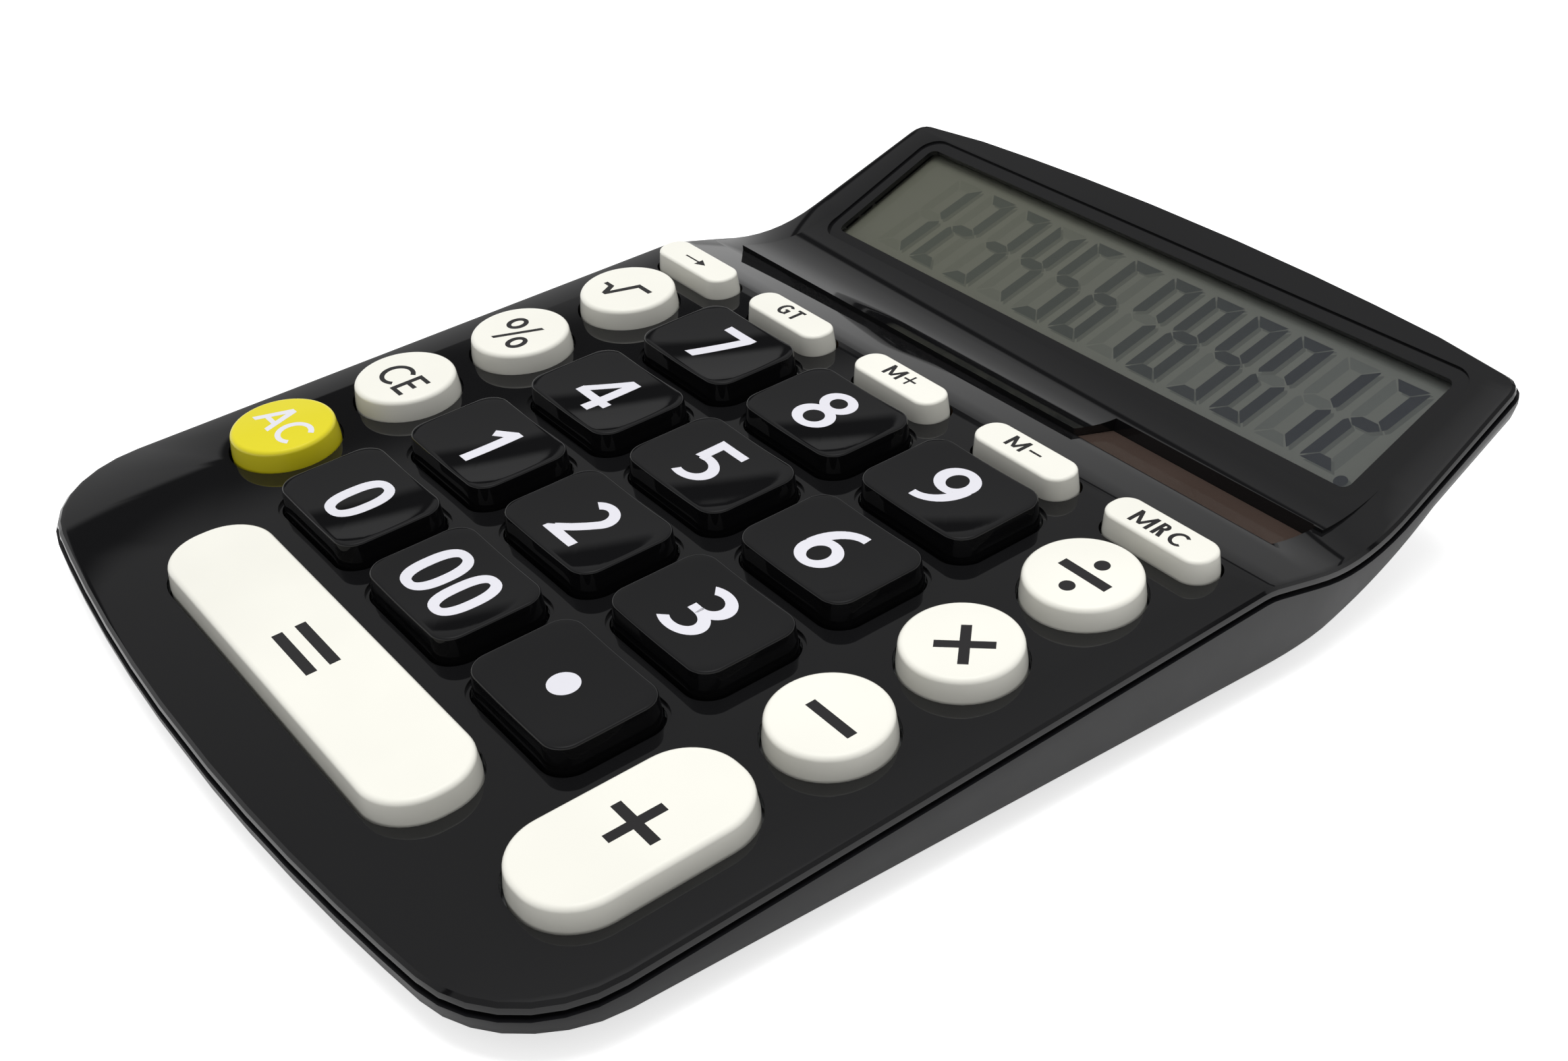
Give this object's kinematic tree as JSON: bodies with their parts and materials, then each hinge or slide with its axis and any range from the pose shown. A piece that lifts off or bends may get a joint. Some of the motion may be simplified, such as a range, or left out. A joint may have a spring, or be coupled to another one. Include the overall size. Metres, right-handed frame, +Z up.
{
  "type": "desk calculator",
  "caption": "Low wedge-shaped desk calculator with a bowed moulded casing, a raised sloping display, a small solar panel and sprung keys of several shapes.",
  "frame": {"origin": "centre of the casing's outline, on the surface that the rubber feet stand on", "axes": "+X to the user's right, +Y back towards the display, +Z up"},
  "size_m": [0.149, 0.1936, 0.0315],
  "materials": {
    "casing": "glossy black",
    "underside": "satin dark grey",
    "number_key": "glossy black with white printing",
    "white_key": "warm white with dark grey printing",
    "yellow_key": "yellow with white printing",
    "display_cover": "clear",
    "lcd_glass": "grey-green reflective liquid crystal",
    "bracket": "plain white moulding",
    "ribbon": "amber film",
    "solar_cover": "clear, tinted brown",
    "solar_cell": "dark brown amorphous cell",
    "lead": "red insulation",
    "board": "brown laminate",
    "chip": "black resin",
    "capacitor": "blue sleeve",
    "mat": "grey silicone",
    "cell": "bright steel",
    "contact": "bright",
    "screw": "bright",
    "feet": "matt"
  },
  "bodies": {
    "casing": {"upper_cover": "casing", "lower_cover": "underside", "display_window": "display_cover", "lcd_panel": "lcd_glass", "lcd_bracket": "bracket", "lcd_ribbon": "ribbon", "solar_window": "solar_cover", "solar_cell": "solar_cell", "solar_leads": "lead", "main_board": "board", "controller_chip": "chip", "capacitor": "capacitor", "keypad_mat": "mat", "button_cell": "cell", "upper_contact": "contact", "lower_contact": "contact", "battery_leads": "lead", "battery_cover": "underside", "battery_cover_screw": "screw", "case_screws": "screw", "board_screws": "screw", "bracket_screws": "screw", "rubber_feet": "feet"},
    "key_backspace": {"key_backspace": "white_key"},
    "key_grand_total": {"key_grand_total": "white_key"},
    "key_memory_plus": {"key_memory_plus": "white_key"},
    "key_memory_minus": {"key_memory_minus": "white_key"},
    "key_memory_recall": {"key_memory_recall": "white_key"},
    "key_root": {"key_root": "white_key"},
    "key_7": {"key_7": "number_key"},
    "key_8": {"key_8": "number_key"},
    "key_9": {"key_9": "number_key"},
    "key_divide": {"key_divide": "white_key"},
    "key_percent": {"key_percent": "white_key"},
    "key_4": {"key_4": "number_key"},
    "key_5": {"key_5": "number_key"},
    "key_6": {"key_6": "number_key"},
    "key_times": {"key_times": "white_key"},
    "key_clear_entry": {"key_clear_entry": "white_key"},
    "key_1": {"key_1": "number_key"},
    "key_2": {"key_2": "number_key"},
    "key_3": {"key_3": "number_key"},
    "key_minus": {"key_minus": "white_key"},
    "key_all_clear": {"key_all_clear": "yellow_key"},
    "key_0": {"key_0": "number_key"},
    "key_00": {"key_00": "number_key"},
    "key_point": {"key_point": "number_key"},
    "key_plus": {"key_plus": "white_key"},
    "key_equals": {"key_equals": "white_key"}
  },
  "joints": [
    {"name": "press_backspace", "type": "slide", "parent": "casing", "child": "key_backspace", "axis": [0, 0.0785, -0.9969], "range_m": [0, 0.0012], "stiffness_N_per_m": 400, "deforming": ["keypad_mat"]},
    {"name": "press_grand_total", "type": "slide", "parent": "casing", "child": "key_grand_total", "axis": [0, 0.0785, -0.9969], "range_m": [0, 0.0012], "stiffness_N_per_m": 400, "deforming": ["keypad_mat"]},
    {"name": "press_memory_plus", "type": "slide", "parent": "casing", "child": "key_memory_plus", "axis": [0, 0.0785, -0.9969], "range_m": [0, 0.0012], "stiffness_N_per_m": 400, "deforming": ["keypad_mat"]},
    {"name": "press_memory_minus", "type": "slide", "parent": "casing", "child": "key_memory_minus", "axis": [0, 0.0785, -0.9969], "range_m": [0, 0.0012], "stiffness_N_per_m": 400, "deforming": ["keypad_mat"]},
    {"name": "press_memory_recall", "type": "slide", "parent": "casing", "child": "key_memory_recall", "axis": [0, 0.0785, -0.9969], "range_m": [0, 0.0012], "stiffness_N_per_m": 400, "deforming": ["keypad_mat"]},
    {"name": "press_root", "type": "slide", "parent": "casing", "child": "key_root", "axis": [0, 0.0785, -0.9969], "range_m": [0, 0.0012], "stiffness_N_per_m": 400, "deforming": ["keypad_mat"]},
    {"name": "press_7", "type": "slide", "parent": "casing", "child": "key_7", "axis": [0, 0.0785, -0.9969], "range_m": [0, 0.0012], "stiffness_N_per_m": 400, "deforming": ["keypad_mat"]},
    {"name": "press_8", "type": "slide", "parent": "casing", "child": "key_8", "axis": [0, 0.0785, -0.9969], "range_m": [0, 0.0012], "stiffness_N_per_m": 400, "deforming": ["keypad_mat"]},
    {"name": "press_9", "type": "slide", "parent": "casing", "child": "key_9", "axis": [0, 0.0785, -0.9969], "range_m": [0, 0.0012], "stiffness_N_per_m": 400, "deforming": ["keypad_mat"]},
    {"name": "press_divide", "type": "slide", "parent": "casing", "child": "key_divide", "axis": [0, 0.0785, -0.9969], "range_m": [0, 0.0012], "stiffness_N_per_m": 400, "deforming": ["keypad_mat"]},
    {"name": "press_percent", "type": "slide", "parent": "casing", "child": "key_percent", "axis": [0, 0.0785, -0.9969], "range_m": [0, 0.0012], "stiffness_N_per_m": 400, "deforming": ["keypad_mat"]},
    {"name": "press_4", "type": "slide", "parent": "casing", "child": "key_4", "axis": [0, 0.0785, -0.9969], "range_m": [0, 0.0012], "stiffness_N_per_m": 400, "deforming": ["keypad_mat"]},
    {"name": "press_5", "type": "slide", "parent": "casing", "child": "key_5", "axis": [0, 0.0785, -0.9969], "range_m": [0, 0.0012], "stiffness_N_per_m": 400, "deforming": ["keypad_mat"]},
    {"name": "press_6", "type": "slide", "parent": "casing", "child": "key_6", "axis": [0, 0.0785, -0.9969], "range_m": [0, 0.0012], "stiffness_N_per_m": 400, "deforming": ["keypad_mat"]},
    {"name": "press_times", "type": "slide", "parent": "casing", "child": "key_times", "axis": [0, 0.0785, -0.9969], "range_m": [0, 0.0012], "stiffness_N_per_m": 400, "deforming": ["keypad_mat"]},
    {"name": "press_clear_entry", "type": "slide", "parent": "casing", "child": "key_clear_entry", "axis": [0, 0.0785, -0.9969], "range_m": [0, 0.0012], "stiffness_N_per_m": 400, "deforming": ["keypad_mat"]},
    {"name": "press_1", "type": "slide", "parent": "casing", "child": "key_1", "axis": [0, 0.0785, -0.9969], "range_m": [0, 0.0012], "stiffness_N_per_m": 400, "deforming": ["keypad_mat"]},
    {"name": "press_2", "type": "slide", "parent": "casing", "child": "key_2", "axis": [0, 0.0785, -0.9969], "range_m": [0, 0.0012], "stiffness_N_per_m": 400, "deforming": ["keypad_mat"]},
    {"name": "press_3", "type": "slide", "parent": "casing", "child": "key_3", "axis": [0, 0.0785, -0.9969], "range_m": [0, 0.0012], "stiffness_N_per_m": 400, "deforming": ["keypad_mat"]},
    {"name": "press_minus", "type": "slide", "parent": "casing", "child": "key_minus", "axis": [0, 0.0785, -0.9969], "range_m": [0, 0.0012], "stiffness_N_per_m": 400, "deforming": ["keypad_mat"]},
    {"name": "press_all_clear", "type": "slide", "parent": "casing", "child": "key_all_clear", "axis": [0, 0.0785, -0.9969], "range_m": [0, 0.0012], "stiffness_N_per_m": 400, "deforming": ["keypad_mat"]},
    {"name": "press_0", "type": "slide", "parent": "casing", "child": "key_0", "axis": [0, 0.0785, -0.9969], "range_m": [0, 0.0012], "stiffness_N_per_m": 400, "deforming": ["keypad_mat"]},
    {"name": "press_00", "type": "slide", "parent": "casing", "child": "key_00", "axis": [0, 0.0785, -0.9969], "range_m": [0, 0.0012], "stiffness_N_per_m": 400, "deforming": ["keypad_mat"]},
    {"name": "press_point", "type": "slide", "parent": "casing", "child": "key_point", "axis": [0, 0.0785, -0.9969], "range_m": [0, 0.0012], "stiffness_N_per_m": 400, "deforming": ["keypad_mat"]},
    {"name": "press_plus", "type": "slide", "parent": "casing", "child": "key_plus", "axis": [0, 0.0785, -0.9969], "range_m": [0, 0.0012], "stiffness_N_per_m": 600, "deforming": ["keypad_mat"]},
    {"name": "press_equals", "type": "slide", "parent": "casing", "child": "key_equals", "axis": [0, 0.0785, -0.9969], "range_m": [0, 0.0012], "stiffness_N_per_m": 600, "deforming": ["keypad_mat"]}
  ]
}
